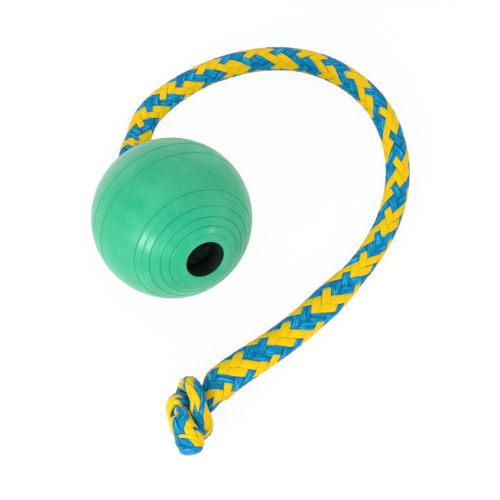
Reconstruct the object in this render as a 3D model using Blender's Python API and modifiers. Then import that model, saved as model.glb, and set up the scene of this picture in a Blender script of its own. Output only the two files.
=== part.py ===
"""Floating ball dog toy: a hollow rubber ball on a braided rope with a knot at each end.

The ball is turned about its bore, which runs from a wide mouth, through a round cavity, to a
small hole for the rope. The rope's first knot sits inside the cavity, on the wall round that
hole. The rest of the rope lies on the ground in one open curve and ends in a second knot.
The origin is the spot where the ball touches the ground, +Z is up, and the bore lies in the
XZ plane with the mouth towards +X.
"""

from math import asin, ceil, cos, degrees, pi, radians, sin, sqrt

import bpy
import numpy as np
from mathutils import Matrix, Vector

MM = 0.001

# Ball
BALL_DIAMETER = 65 * MM
WALL_THICKNESS = 9.5 * MM
MOUTH_DIAMETER = 16 * MM
MOUTH_RIM_DIAMETER = 20.4 * MM
MOUTH_EDGE_ROUND = 0.6 * MM
HOLE_EDGE_ROUND = 0.8 * MM
GROOVE_WIDTH = 0.9 * MM
GROOVE_DEPTH = 0.4 * MM
FAINT_GROOVE_DEPTH = 0.2 * MM
MOUTH_RISE_DEG = 30.0

# Rings moulded into the ball, as angles from the bore's axis, repeated on the rope's side
DEEP_RING_DEGS = (26.3, 32.5, 40.0, 51.0, 83.4)
FAINT_RING_DEGS = (20.5, 45.5)

# Rope
ROPE_DIAMETER = 10 * MM
ROPE_LOOSE_DIAMETER = 12 * MM
ROPE_HOLE_CLEARANCE = 0.3 * MM
ROPE_STRAIGHT_EXIT = 5 * MM
ROPE_TO_GROUND = 0.05 * MM
JOIN_GAP = 0.3 * MM
SEAL_LENGTH = 2.4 * MM
SEAL_EDGE = 0.9 * MM

# Knots, where the rope is pulled thin
KNOT_ROPE_DIAMETER = 6.4 * MM
KNOT_SELF_GAP = 0.7 * MM
KNOT_LENGTH_SHARE = 14.7
KNOT_SEAT_CLEARANCE = 0.45 * MM
RETAINING_KNOT_ROLL_DEG = 20.0
RETAINING_KNOT_TAIL_TURN_DEG = 180.0
RETAINING_KNOT_REACH_SHARE = 2.25
END_KNOT_ROLL_DEG = 75.0
END_KNOT_TAIL_TURN_DEG = -108.0
END_KNOT_TAIL_SLOPE = 0.1
END_KNOT_LEAD = 3.5 * MM
END_KNOT_TAIL = 6 * MM

# Route of the free rope on the ground, in millimetres: x, y and the height above lying flat
ROPE_ROUTE = (
    (-38.4, 0.8, 5.4), (-43.6, 4.2, 2.9), (-47.4, 9.0, 1.4), (-51.3, 12.8, 0.4),
    (-55.0, 17.4, 0.0), (-57.8, 24.0, 0.0), (-59.5, 33.0, 0.0), (-60.1, 43.0, 0.0),
    (-59.1, 55.5, 0.0), (-55.8, 68.6, 0.0), (-50.4, 80.8, 0.0), (-42.6, 91.5, 0.0),
    (-32.2, 100.0, 0.0), (-19.9, 105.5, 0.0), (-6.5, 107.8, 0.0), (7.3, 105.9, 0.0),
    (20.2, 100.7, 0.0), (31.5, 92.6, 0.0), (40.7, 82.4, 0.0), (47.7, 70.8, 0.0),
    (52.7, 58.5, 0.0), (56.0, 46.0, 0.0), (58.7, 33.6, 0.0), (60.7, 21.0, 0.0),
    (61.9, 8.5, 0.0), (62.4, -3.5, 0.0), (62.9, -11.5, 0.0), (63.8, -19.0, 0.0),
)
ROPE_LOOSE_FROM_SHARE = 0.76
ROPE_LOOSE_FULL_SHARE = 0.84
ROPE_RISE_FROM_SHARE = 0.86

# Smoothness
BALL_SEGMENT_COUNT = 48
ARC_STEP_DEG = 6.5
ROPE_POINT_SPACING = 8 * MM
KNOT_POINT_SPACING = 2.2 * MM
TUBE_STEP_COUNT = 3
SEAL_SEGMENT_COUNT = 16
SEAL_STEP_COUNT = 4
MERGE_DISTANCE = 0.003 * MM

# Sizes that follow
BALL_RADIUS = BALL_DIAMETER / 2
CAVITY_RADIUS = BALL_RADIUS - WALL_THICKNESS
MOUTH_RADIUS = MOUTH_DIAMETER / 2
MOUTH_RIM_RADIUS = MOUTH_RIM_DIAMETER / 2
ROPE_RADIUS = ROPE_DIAMETER / 2
ROPE_LOOSE_RADIUS = ROPE_LOOSE_DIAMETER / 2
ROPE_HOLE_RADIUS = ROPE_RADIUS + ROPE_HOLE_CLEARANCE
KNOT_ROPE_RADIUS = KNOT_ROPE_DIAMETER / 2
BALL_CENTRE = Vector((0, 0, BALL_RADIUS))
BORE_AXIS = Vector((cos(radians(MOUTH_RISE_DEG)), 0, sin(radians(MOUTH_RISE_DEG))))

KNOT_THICKNESS = KNOT_ROPE_DIAMETER + KNOT_SELF_GAP
KNOT_ROPE_LENGTH = KNOT_THICKNESS * KNOT_LENGTH_SHARE
RETAINING_KNOT_TAIL = CAVITY_RADIUS - KNOT_THICKNESS * RETAINING_KNOT_REACH_SHARE

# Numerical settings of the knot tightening
OVERHAND_REACH = 2.05
OVERHAND_DEPTHS = (0.18, -1.8)
TIGHTEN_POINT_COUNT = 96
TIGHTEN_STEP_COUNT = 500
TIGHTEN_PULL_SHARE = 0.14
KEEP_APART_COUNT = 6
NEIGHBOUR_SHARE = 1.35
TOUCHING_SHARE = 1.02


def clear_scene():
    """Remove whatever the file opened with."""
    for item in list(bpy.data.objects):
        bpy.data.objects.remove(item, do_unlink=True)


def make_material(name, colour, roughness, metallic=0.0):
    """Plain Principled finish for one kind of piece."""
    material = bpy.data.materials.new(name)
    material.use_nodes = True
    shader = material.node_tree.nodes["Principled BSDF"]
    shader.inputs["Base Color"].default_value = (*colour, 1.0)
    shader.inputs["Roughness"].default_value = roughness
    shader.inputs["Metallic"].default_value = metallic
    material.diffuse_color = (*colour, 1.0)
    return material


def add_object(name, data, material, collection):
    """Put new object data in the model's collection with its material."""
    thing = bpy.data.objects.new(name, data)
    data.materials.append(material)
    collection.objects.link(thing)
    return thing


def arc(radius, from_deg, to_deg):
    """Points on a circle about the ball's centre, ends included, as (radius, height)."""
    count = max(1, ceil(abs(to_deg - from_deg) / ARC_STEP_DEG))
    angles = [radians(from_deg + (to_deg - from_deg) * k / count) for k in range(count + 1)]
    return [(radius * sin(a), radius * cos(a)) for a in angles]


def rounded_corner(before, corner, after, size):
    """Replace a corner of the outline with three points of a small round."""
    corner = Vector(corner)
    start = corner + (Vector(before) - corner).normalized() * size
    end = corner + (Vector(after) - corner).normalized() * size
    middle = (start + end) / 4 + corner / 2
    return [tuple(start), tuple(middle), tuple(end)]


def ring_grooves():
    """Every ring as (angle from the mouth, depth), in order from the mouth to the rope."""
    rings = [(angle, GROOVE_DEPTH) for angle in DEEP_RING_DEGS]
    rings += [(angle, FAINT_GROOVE_DEPTH) for angle in FAINT_RING_DEGS]
    rings += [(180 - angle, depth) for angle, depth in rings]
    return sorted(rings)


def ball_outline():
    """Closed outline of the ball's wall, down the outside from the mouth and back up inside."""
    rim_deg = degrees(asin(MOUTH_RIM_RADIUS / BALL_RADIUS))
    rim_height = BALL_RADIUS * cos(radians(rim_deg))
    hole_out_deg = 180 - degrees(asin(ROPE_HOLE_RADIUS / BALL_RADIUS))
    hole_in_deg = 180 - degrees(asin(ROPE_HOLE_RADIUS / CAVITY_RADIUS))
    mouth_in_deg = degrees(asin(MOUTH_RADIUS / CAVITY_RADIUS))
    half_groove_deg = degrees(GROOVE_WIDTH / 2 / BALL_RADIUS)

    outside = []
    reached = rim_deg
    for angle, depth in ring_grooves():
        outside += arc(BALL_RADIUS, reached, angle - half_groove_deg)
        outside += arc(BALL_RADIUS - depth, angle, angle)[:1]
        reached = angle + half_groove_deg
    outside += arc(BALL_RADIUS, reached, hole_out_deg)
    inside = arc(CAVITY_RADIUS, hole_in_deg, mouth_in_deg)

    mouth_corner = (MOUTH_RADIUS, rim_height)
    mouth_round = rounded_corner(inside[-1], mouth_corner, outside[0], MOUTH_EDGE_ROUND)
    hole_round = rounded_corner(outside[-2], outside[-1], inside[0], HOLE_EDGE_ROUND)
    return mouth_round + outside[:-1] + hole_round + inside


def turned(name, outline, closed, segments, material, collection):
    """Turn an outline of (radius, height) points about the object's own Z axis."""
    mesh = bpy.data.meshes.new(name)
    edges = [(k, k + 1) for k in range(len(outline) - 1)]
    if closed:
        edges.append((len(outline) - 1, 0))
    mesh.from_pydata([(r, 0, z) for r, z in outline], edges, [])
    thing = add_object(name, mesh, material, collection)
    screw = thing.modifiers.new("turn", "SCREW")
    screw.angle = 2 * pi
    screw.steps = segments
    screw.render_steps = segments
    screw.use_merge_vertices = True
    screw.merge_threshold = MERGE_DISTANCE
    return thing


def along_bore(height):
    """Point on the bore's axis, that far from the ball's centre towards the mouth."""
    return BALL_CENTRE + BORE_AXIS * height


def bore_turn():
    """Rotation that turns +Z to the bore's axis."""
    return Matrix.Rotation(radians(90 - MOUTH_RISE_DEG), 4, "Y")


def make_ball(material, collection):
    """The ball: one moulded wall, open at the mouth and at the rope's hole."""
    ball = turned("ball", ball_outline(), True, BALL_SEGMENT_COUNT, material, collection)
    ball.location = BALL_CENTRE
    ball.rotation_euler = bore_turn().to_euler()
    return ball


def spaced(points, spacing):
    """Points evenly spaced along a line of points, ends included."""
    points = np.asarray(points, float)
    steps = np.linalg.norm(np.diff(points, axis=0), axis=1)
    reached = np.concatenate([[0.0], np.cumsum(steps)])
    count = max(2, round(reached[-1] / spacing) + 1)
    wanted = np.linspace(0.0, reached[-1], count)
    return np.stack([np.interp(wanted, reached, points[:, k]) for k in range(3)], axis=1)


def smooth_through(points, per_span=12):
    """Catmull-Rom curve through every point."""
    points = np.asarray(points, float)
    first = 2 * points[0] - points[1]
    last = 2 * points[-1] - points[-2]
    p = np.vstack([first, points, last])
    t = np.linspace(0.0, 1.0, per_span, endpoint=False)[:, None]
    spans = []
    for k in range(1, len(p) - 2):
        a, b, c, d = p[k - 1], p[k], p[k + 1], p[k + 2]
        cubic = 2 * b + (c - a) * t + (2 * a - 5 * b + 4 * c - d) * t**2
        spans.append((cubic + (3 * b - a - 3 * c + d) * t**3) / 2)
    return np.vstack(spans + [points[-1:]])


def loose_overhand(count, length, roll):
    """Open knotted line of a given length, standing part towards -X, before it is tightened."""
    t = np.linspace(-OVERHAND_REACH, OVERHAND_REACH, 8 * count)
    curl, slope = OVERHAND_DEPTHS
    line = np.stack([t**3 - 3 * t, t**4 - 4 * t**2, curl * t**5 + slope * t], axis=1)
    turn = np.array(((1, 0, 0), (0, cos(roll), -sin(roll)), (0, sin(roll), cos(roll))))
    line = line @ turn.T
    steps = np.linalg.norm(np.diff(line, axis=0), axis=1).sum()
    line *= length / steps
    return spaced(line, length / (count - 1))


def facing(direction):
    """Rotation that turns +X to a direction and keeps +Y level."""
    x = direction / np.linalg.norm(direction)
    y = np.cross((0.0, 0.0, 1.0), x)
    y /= np.linalg.norm(y)
    return np.stack([x, y, np.cross(x, y)], axis=1)


def distant_pairs(line):
    """Mean step of a knot's line, and each pair of its points that isn't of one short stretch."""
    step = np.linalg.norm(np.diff(line, axis=0), axis=1).mean()
    near = ceil(NEIGHBOUR_SHARE * KNOT_THICKNESS / step)
    one, other = np.triu_indices(len(line), near)
    return step, one, other


def tightened(line, pull_start, pull_end):
    """Pull both ends of a knotted line until its turns lie one thickness apart."""
    step, one, other = distant_pairs(line)
    for _ in range(TIGHTEN_STEP_COUNT):
        line[0] += pull_start
        line[-1] += pull_end
        bend = np.zeros_like(line)
        bend[1:-1] = (line[:-2] + line[2:]) / 2 - line[1:-1]
        stiff = np.zeros_like(line)
        stiff[1:-1] = bend[1:-1] - (bend[:-2] + bend[2:]) / 2
        line += stiff / 4
        for _ in range(KEEP_APART_COUNT):
            apart = line[one] - line[other]
            distance = np.linalg.norm(apart, axis=1)
            close = distance < KNOT_THICKNESS
            push = (KNOT_THICKNESS - distance[close])[:, None] / 4 * apart[close]
            push /= distance[close][:, None]
            np.add.at(line, one[close], push)
            np.add.at(line, other[close], -push)
            for first in (0, 1, 0, 1):
                a = line[first:-1:2]
                b = line[first + 1::2]
                a = a[:len(b)]
                stretch = b - a
                length = np.linalg.norm(stretch, axis=1)[:, None]
                fix = (length - step) / length * stretch / 2
                line[first:first + 2 * len(b) - 1:2] += fix
                line[first + 1::2] -= fix
    return line


def self_gap(line, radii):
    """Least gap between turns of a tube with those radii round a line."""
    _, one, other = distant_pairs(line)
    apart = np.linalg.norm(line[one] - line[other], axis=1)
    return (apart - radii[one] - radii[other]).min()


def knot_line(tail_turn_deg, tail_slope, roll_deg):
    """Tight overhand knot; its standing part comes from +X and its tail leaves as stated."""
    standing = np.array((1.0, 0.0, 0.0))
    turn = radians(tail_turn_deg)
    tail = np.array((cos(turn), sin(turn), tail_slope))
    tail /= np.linalg.norm(tail)
    line = loose_overhand(TIGHTEN_POINT_COUNT, KNOT_ROPE_LENGTH, radians(roll_deg))
    line = line @ facing(tail - standing).T
    pull = KNOT_ROPE_DIAMETER * TIGHTEN_PULL_SHARE
    return tightened(line, standing * pull, tail * pull)


def core_span(line):
    """First and last index of the stretch of a knot that touches another stretch of it."""
    _, one, other = distant_pairs(line)
    apart = np.linalg.norm(line[one] - line[other], axis=1)
    touching = apart < TOUCHING_SHARE * KNOT_THICKNESS
    return one[touching].min(), other[touching].max()


def cut_leads(line, lead, tail):
    """Cut a knot's two ends to stated lengths beyond the stretch that touches itself."""
    step = np.linalg.norm(np.diff(line, axis=0), axis=1).mean()
    first, last = core_span(line)
    start = max(0, first - round(lead / step))
    end = min(len(line), last + round(tail / step) + 1)
    return line[start:end]


def squeezed_radii(line, full_radius):
    """Radius at each point of a knot: as much of the full one as its other turns leave room for."""
    _, one, other = distant_pairs(line)
    apart = np.linalg.norm(line[one] - line[other], axis=1)
    nearest = np.full(len(line), np.inf)
    np.minimum.at(nearest, one, apart)
    np.minimum.at(nearest, other, apart)
    room = nearest - KNOT_ROPE_RADIUS - KNOT_SELF_GAP
    return np.clip(room, KNOT_ROPE_RADIUS, full_radius)


def tube(name, line, radii, material, collection):
    """Round tube along a line, with a radius at each point."""
    curve = bpy.data.curves.new(name, "CURVE")
    curve.dimensions = "3D"
    curve.bevel_depth = ROPE_RADIUS
    curve.bevel_resolution = TUBE_STEP_COUNT
    curve.use_fill_caps = True
    spline = curve.splines.new("POLY")
    spline.points.add(len(line) - 1)
    for point, place, radius in zip(spline.points, line, radii):
        point.co = (*place, 1.0)
        point.radius = radius / ROPE_RADIUS
    return add_object(name, curve, material, collection)


def seated_in_cavity(line):
    """Place the retaining knot on the bore's axis, resting on the wall round the rope's hole."""
    axis = np.array(BORE_AXIS)
    line = line @ facing(-axis).T
    line = line - line[0]
    first, last = core_span(line)
    heights = line @ axis
    reach = np.linalg.norm(line - heights[:, None] * axis, axis=1)
    room = CAVITY_RADIUS - KNOT_SEAT_CLEARANCE - KNOT_ROPE_RADIUS
    drop = (heights + np.sqrt(room**2 - reach**2))[first:last + 1].min()
    return line - drop * axis + np.array(BALL_CENTRE)


def started_on_bore(line, height):
    """Start the retaining knot's line straight along the bore's axis, at a stated height."""
    axis = np.array(BORE_AXIS)
    heights = (line - np.array(BALL_CENTRE)) @ axis
    straight_to = height + KNOT_POINT_SPACING
    kept = line[heights > straight_to + KNOT_POINT_SPACING / 2]
    return np.vstack([along_bore(height), along_bore(straight_to), kept])


def smooth_step(value, start, end):
    """0 before start, 1 after end, smooth between."""
    share = np.clip((value - start) / (end - start), 0.0, 1.0)
    return share * share * (3 - 2 * share)


def rope_route(knot_height):
    """Centre line of the free rope and its radius, from the ball's surface to the end knot."""
    exit_lengths = (0.0, ROPE_STRAIGHT_EXIT / 2, ROPE_STRAIGHT_EXIT)
    points = [tuple(along_bore(-BALL_RADIUS - JOIN_GAP - out)) for out in exit_lengths]
    flat = ROPE_RADIUS + ROPE_TO_GROUND
    points += [(x * MM, y * MM, flat + lift * MM) for x, y, lift in ROPE_ROUTE]
    line = smooth_through(points)
    steps = np.linalg.norm(np.diff(line, axis=0), axis=1)
    share = np.concatenate([[0.0], np.cumsum(steps)]) / steps.sum()
    looser = smooth_step(share, ROPE_LOOSE_FROM_SHARE, ROPE_LOOSE_FULL_SHARE)
    rise = smooth_step(share, ROPE_RISE_FROM_SHARE, 1.0)
    swell = (ROPE_LOOSE_RADIUS - ROPE_RADIUS) * looser
    line[:, 2] += swell + rise * (knot_height - flat - swell)
    even = spaced(line, ROPE_POINT_SPACING)
    even[1] = points[-len(ROPE_ROUTE) - 1]
    even_share = np.linspace(0.0, 1.0, len(even))
    return even, ROPE_RADIUS + np.interp(even_share, share, swell)


def placed_end_knot(line, rope_end, arriving):
    """Turn the end knot to meet the rope and stand it on the ground."""
    turn = np.arctan2(-arriving[1], -arriving[0])
    level = np.array(((cos(turn), sin(turn), 0), (-sin(turn), cos(turn), 0), (0, 0, 1)))
    line = (line - line[0]) @ level
    start = rope_end + arriving * JOIN_GAP
    line += start + arriving * KNOT_POINT_SPACING
    return np.vstack([start, line])


def make_seal(name, line, radius, material, collection):
    """Fused tip that closes a rope's cut end: a short turned dome on the end of the line."""
    turns = [pi / 2 * k / SEAL_STEP_COUNT for k in range(SEAL_STEP_COUNT + 1)]
    crown = SEAL_LENGTH - SEAL_EDGE
    outline = [(radius * sin(turn), SEAL_EDGE + crown * cos(turn)) for turn in turns]
    outline += [(radius, 0), (0, 0)]
    seal = turned(name, outline, False, SEAL_SEGMENT_COUNT, material, collection)
    heading = Vector(line[-1] - line[-2]).normalized()
    seal.location = Vector(line[-1]) + heading * JOIN_GAP
    seal.rotation_mode = "QUATERNION"
    seal.rotation_quaternion = heading.to_track_quat("Z", "Y")
    return seal


def main():
    """Build every piece of the toy."""
    clear_scene()
    collection = bpy.data.collections.new("floating_ball_toy")
    bpy.context.scene.collection.children.link(collection)
    rubber = make_material("green rubber", (0.055, 0.47, 0.27), 0.45)
    braid = make_material("braided rope", (0.02, 0.25, 0.55), 0.6)
    fused = make_material("fused rope end", (0.01, 0.22, 0.5), 0.3)

    make_ball(rubber, collection)

    inner = cut_leads(knot_line(RETAINING_KNOT_TAIL_TURN_DEG, 0.0, RETAINING_KNOT_ROLL_DEG),
                      WALL_THICKNESS, RETAINING_KNOT_TAIL)
    inner = seated_in_cavity(spaced(inner, KNOT_POINT_SPACING))
    hole_in = -sqrt(CAVITY_RADIUS**2 - ROPE_HOLE_RADIUS**2)
    inner = started_on_bore(inner, hole_in + JOIN_GAP)
    inner_radii = squeezed_radii(inner, ROPE_RADIUS)
    print("retaining knot gap mm", round(self_gap(inner, inner_radii) / MM, 2))
    tube("retaining_knot", inner, inner_radii, braid, collection)
    make_seal("retaining_knot_seal", inner, inner_radii[-1], fused, collection)

    neck = [along_bore(hole_in), along_bore((hole_in - BALL_RADIUS) / 2), along_bore(-BALL_RADIUS)]
    tube("rope_neck", neck, [ROPE_RADIUS] * len(neck), braid, collection)

    outer = cut_leads(knot_line(END_KNOT_TAIL_TURN_DEG, END_KNOT_TAIL_SLOPE, END_KNOT_ROLL_DEG),
                      END_KNOT_LEAD, END_KNOT_TAIL)
    outer = spaced(outer, KNOT_POINT_SPACING)
    height = ROPE_TO_GROUND + KNOT_ROPE_RADIUS + outer[0, 2] - outer[:, 2].min()
    route, radii = rope_route(height)
    tube("rope", route, radii, braid, collection)
    arriving = route[-1] - route[-2]
    arriving /= np.linalg.norm(arriving)
    outer = placed_end_knot(outer, route[-1], arriving)
    outer_radii = squeezed_radii(outer, radii[-1])
    print("end knot gap mm", round(self_gap(outer, outer_radii) / MM, 2))
    tube("end_knot", outer, outer_radii, braid, collection)
    make_seal("end_knot_seal", outer, outer_radii[-1], fused, collection)
    length = np.linalg.norm(np.diff(route, axis=0), axis=1).sum()
    print("free rope length mm", round(length / MM, 1))


main()
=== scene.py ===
"""Looks of the floating ball dog toy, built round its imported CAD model.

The CAD model gives the sizes, the places and the bodies that move. This script adds what is seen:
the ball's fine moulded rings and its rubber, and the rope as the hollow braid that it is. Sixteen
flat tapes, eight each way, pass over two and under two from one fused tip to the other, through
both knots. Lengths are in metres unless a name says otherwise.
"""

from math import asin, ceil, cos, pi, radians, sin, sqrt

import bmesh
import bpy
import numpy as np
from bpy.props import FloatProperty, FloatVectorProperty, IntProperty, PointerProperty
from bpy.types import Operator, Panel, PropertyGroup
from mathutils import Matrix, Vector


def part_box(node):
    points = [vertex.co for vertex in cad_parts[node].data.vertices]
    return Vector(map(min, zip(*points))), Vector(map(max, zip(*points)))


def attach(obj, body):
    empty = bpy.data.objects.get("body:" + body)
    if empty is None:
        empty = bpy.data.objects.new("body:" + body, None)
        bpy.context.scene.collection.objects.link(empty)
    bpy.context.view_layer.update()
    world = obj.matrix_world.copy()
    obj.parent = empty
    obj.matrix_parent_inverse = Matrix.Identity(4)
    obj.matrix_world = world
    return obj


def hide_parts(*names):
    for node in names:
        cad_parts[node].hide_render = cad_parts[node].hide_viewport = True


bl_info = {
    "name": "Floating Ball Dog Toy",
    "version": (1, 0, 0),
    "blender": (4, 5, 0),
    "location": "3D View > Sidebar > Ball Toy",
    "description": "Builds a rubber ball on a braided rope, with a knot at each end of the rope",
    "category": "Object",
}

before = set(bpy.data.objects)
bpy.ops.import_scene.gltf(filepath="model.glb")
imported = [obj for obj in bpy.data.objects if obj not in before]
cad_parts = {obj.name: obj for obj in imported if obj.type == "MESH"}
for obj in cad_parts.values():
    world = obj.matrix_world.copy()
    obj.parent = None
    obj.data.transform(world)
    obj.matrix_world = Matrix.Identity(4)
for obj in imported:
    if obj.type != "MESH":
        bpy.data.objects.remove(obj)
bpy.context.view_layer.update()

MM = 0.001

# Ball, as in the CAD model
BALL_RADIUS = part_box("ball")[1].z / 2
BALL_CENTRE = Vector((0, 0, BALL_RADIUS))
WALL_THICKNESS = 9.5 * MM
CAVITY_RADIUS = BALL_RADIUS - WALL_THICKNESS
MOUTH_RADIUS = 8 * MM
MOUTH_RIM_RADIUS = 10.2 * MM
MOUTH_RISE_DEG = 30.0
BORE_AXIS = Vector((cos(radians(MOUTH_RISE_DEG)), 0, sin(radians(MOUTH_RISE_DEG))))
DEEP_RING_DEGS = (26.3, 32.5, 40.0, 51.0, 83.4)
FAINT_RING_DEGS = (20.5, 45.5)

# A moulded ring: how steeply its groove and its two lips fall off, and how high and how far out
# the lips are for the groove's depth and half width
GROOVE_FALLOFF = 3.2
LIP_FALLOFF = 2.2
LIP_HEIGHT_SHARE = 0.25
LIP_PLACE_SHARE = 1.35

# Rope, as in the CAD model
ROPE_RADIUS = 5 * MM
ROPE_LOOSE_RADIUS = 6 * MM
ROPE_HOLE_RADIUS = ROPE_RADIUS + 0.3 * MM
HOLE_INSIDE_HEIGHT = -sqrt(CAVITY_RADIUS**2 - ROPE_HOLE_RADIUS**2)
ROPE_STRAIGHT_EXIT = 5 * MM
ROPE_TO_GROUND = 0.05 * MM
JOIN_GAP = 0.3 * MM
ROPE_LENGTH = 316.4 * MM
ROPE_LOOSE_FROM_SHARE = 0.76
ROPE_LOOSE_FULL_SHARE = 0.84
ROPE_RISE_FROM_SHARE = 0.86
SEAL_LENGTH = 2.4 * MM

# Route of the free rope on the ground: x, y and the height above lying flat
ROPE_ROUTE = (
    (-0.0384, 0.0008, 0.0054), (-0.0436, 0.0042, 0.0029), (-0.0474, 0.0090, 0.0014),
    (-0.0513, 0.0128, 0.0004), (-0.0550, 0.0174, 0.0), (-0.0578, 0.0240, 0.0),
    (-0.0595, 0.0330, 0.0), (-0.0601, 0.0430, 0.0), (-0.0591, 0.0555, 0.0),
    (-0.0558, 0.0686, 0.0), (-0.0504, 0.0808, 0.0), (-0.0426, 0.0915, 0.0),
    (-0.0322, 0.1000, 0.0), (-0.0199, 0.1055, 0.0), (-0.0065, 0.1078, 0.0),
    (0.0073, 0.1059, 0.0), (0.0202, 0.1007, 0.0), (0.0315, 0.0926, 0.0),
    (0.0407, 0.0824, 0.0), (0.0477, 0.0708, 0.0), (0.0527, 0.0585, 0.0),
    (0.0560, 0.0460, 0.0), (0.0587, 0.0336, 0.0), (0.0607, 0.0210, 0.0),
    (0.0619, 0.0085, 0.0), (0.0624, -0.0035, 0.0), (0.0629, -0.0115, 0.0),
    (0.0638, -0.0190, 0.0),
)

# Knots, as in the CAD model
KNOT_ROPE_RADIUS = 3.2 * MM
KNOT_SELF_GAP = 0.7 * MM
KNOT_THICKNESS = 2 * KNOT_ROPE_RADIUS + KNOT_SELF_GAP
KNOT_ROPE_LENGTH = KNOT_THICKNESS * 14.7
KNOT_SEAT_CLEARANCE = 0.45 * MM
KNOT_POINT_SPACING = 2.2 * MM
RETAINING_KNOT_ROLL_DEG = 20.0
RETAINING_KNOT_TAIL_TURN_DEG = 180.0
RETAINING_KNOT_TAIL = CAVITY_RADIUS - KNOT_THICKNESS * 2.25
END_KNOT_ROLL_DEG = 75.0
END_KNOT_TAIL_TURN_DEG = -108.0
END_KNOT_TAIL_SLOPE = 0.1
END_KNOT_LEAD = 3.5 * MM
END_KNOT_TAIL = 6 * MM
OVERHAND_REACH = 2.05
OVERHAND_DEPTHS = (0.18, -1.8)
LOOSE_POINTS_PER_POINT = 8
TIGHTEN_POINT_COUNT = 96
TIGHTEN_STEP_COUNT = 500
TIGHTEN_PULL_SHARE = 0.14
KEEP_APART_COUNT = 6
NEIGHBOUR_SHARE = 1.35
TOUCHING_SHARE = 1.02

# Braid: tapes each way, how many tapes of one colour lie side by side, and the place among the
# other tapes where the first tape of each hand comes to the top
TAPE_COUNT = 8
COLOUR_REPEAT = 4
YELLOW_SIDE_BY_SIDE = 2
FIRST_ON_TOP = (1, 3)

# A tape's section: powers under 1 make it squarer, sideways and through its thickness. The crown
# is on the points whose sine round the section is above the last value
TAPE_SIDEWAYS_POWER = 0.7
TAPE_THROUGH_POWER = 0.5
CROWN_FROM_SINE = -0.1

# A tape's way: how flat it lies on top, and how it wanders sideways, as a share of its place, with
# radians for a metre and for the next tape
FLAT_TOP_STEEPNESS = 2.0
TAPE_SWAY_SHARE = 0.05
TAPE_SWAY_PER_METRE = 310
TAPE_SWAY_PER_TAPE = 2.1

# How far the pattern of fibres moves on for the next tape and for the other hand
FIBRES_PER_TAPE = 0.37
FIBRES_PER_HAND = 5.1

# Where the tapes that turn each way stand round the rope, counted in tapes from the side that
# faces the viewpoint, at distances along the rope from the ball
BRAID_PLACES = (
    (-0.120, 59.4, -54.8), (0.0, 33.5, -28.6), (0.010, 31.6, -25.8), (0.017, 30.0, -25.5),
    (0.024, 26.9, -22.3), (0.034, 24.6, -20.2), (0.050, 20.8, -16.5), (0.061, 18.4, -14.4),
    (0.080, 14.8, -11.3), (0.120, 8.0, -4.4), (0.160, 1.6, 2.9), (0.200, -4.5, 9.9),
    (0.240, -11.0, 17.1), (0.280, -17.7, 24.4), (0.310, -22.4, 29.8), (0.321, -24.4, 32.5),
    (0.330, -25.4, 34.1), (0.338, -26.7, 36.6), (0.352, -29.4, 39.6), (0.360, -32.1, 42.5),
    (0.366, -33.5, 43.2), (0.373, -34.2, 44.2), (0.379, -34.8, 45.2), (0.388, -34.9, 49.4),
    (0.404, -37.7, 51.1), (0.409, -38.5, 52.8), (0.413, -38.6, 53.8), (0.417, -41.0, 53.9),
    (0.422, -43.7, 53.1), (0.430, -44.5, 53.9),
)

# How wide the rope lies for its height, at distances along it from the ball
ROPE_WIDE_SHARES = ((0.0, 1.0), (0.012, 1.1), (0.045, 1.17), (0.065, 1.08), (0.15, 1.07),
                    (0.234, 1.06), (0.246, 1.17), (0.258, 1.18), (0.270, 1.11), (0.3164, 1.17))

# The end knot's rope against the loose rope, at distances along the knot: outwards and sideways
END_KNOT_SHARES = ((0.0, 1.0, 1.17), (0.008, 0.72, 1.05), (0.013, 0.64, 1.25),
                   (0.018, 0.64, 1.05), (0.024, 0.62, 0.85), (0.032, 0.6, 0.72),
                   (0.040, 0.66, 0.8), (0.046, 0.64, 0.74), (0.055, 0.6, 0.56),
                   (0.065, 0.6, 0.56), (0.080, 0.62, 0.8), (0.090, 0.7, 1.15),
                   (0.096, 0.72, 1.14), (0.100, 0.76, 1.1), (0.104, 0.62, 0.82))

# How the end knot lies against the CAD model's knot, seen from the camera, at distances along
# the knot: to the right, up and nearer, in millimetres
END_KNOT_SHIFTS = (
    (0.0, 0.0, 0.0, 0.0), (0.005, 0.3, -0.8, 0.0), (0.010, 0.9, -3.0, 0.0),
    (0.014, 0.8, -2.2, 0.2), (0.018, 0.4, 1.6, 0.4), (0.021, -0.2, 2.8, 0.2),
    (0.025, 1.0, 1.8, -0.8), (0.030, 0.0, 0.2, -1.0), (0.035, -0.6, 0.4, 0.0),
    (0.040, -0.4, 0.4, 0.0), (0.045, -1.2, 0.4, 0.0), (0.050, -1.8, -0.4, 0.0),
    (0.055, -1.2, -1.0, 0.0), (0.060, -1.2, -1.2, 0.0), (0.065, -1.4, -0.8, 0.0),
    (0.070, -1.8, 0.0, 0.0), (0.075, -2.2, 0.6, 0.0), (0.080, -3.0, 1.8, 0.0),
    (0.085, -4.0, 2.2, 1.6), (0.090, -1.0, 1.0, 2.4), (0.095, -0.7, 1.2, 0.6),
    (0.100, 0.3, 1.0, 0.0), (0.105, -0.3, -0.2, 0.0), (0.112, -0.3, -0.2, 0.0),
)

# Shape of the rope's section: 2 is an ellipse and more is squarer
ROPE_SECTION_POWER = 2.0
KNOT_SECTION_POWER = 2.4

# The knot inside the ball: outwards, sideways, and the stretch in which the rope narrows to it
INNER_KNOT_THICK = 3.7 * MM
INNER_KNOT_WIDE = 4.8 * MM
INNER_KNOT_NARROWING = 6 * MM

# Room that the rope leaves to its other turns, to the ground and to the cavity's wall, and how
# much of a bend's radius its inner side takes
TURN_GAP = 0.12 * MM
GROUND_GAP = 0.1 * MM
CAVITY_GAP = 0.2 * MM
BEND_SHARE = 0.85

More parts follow.
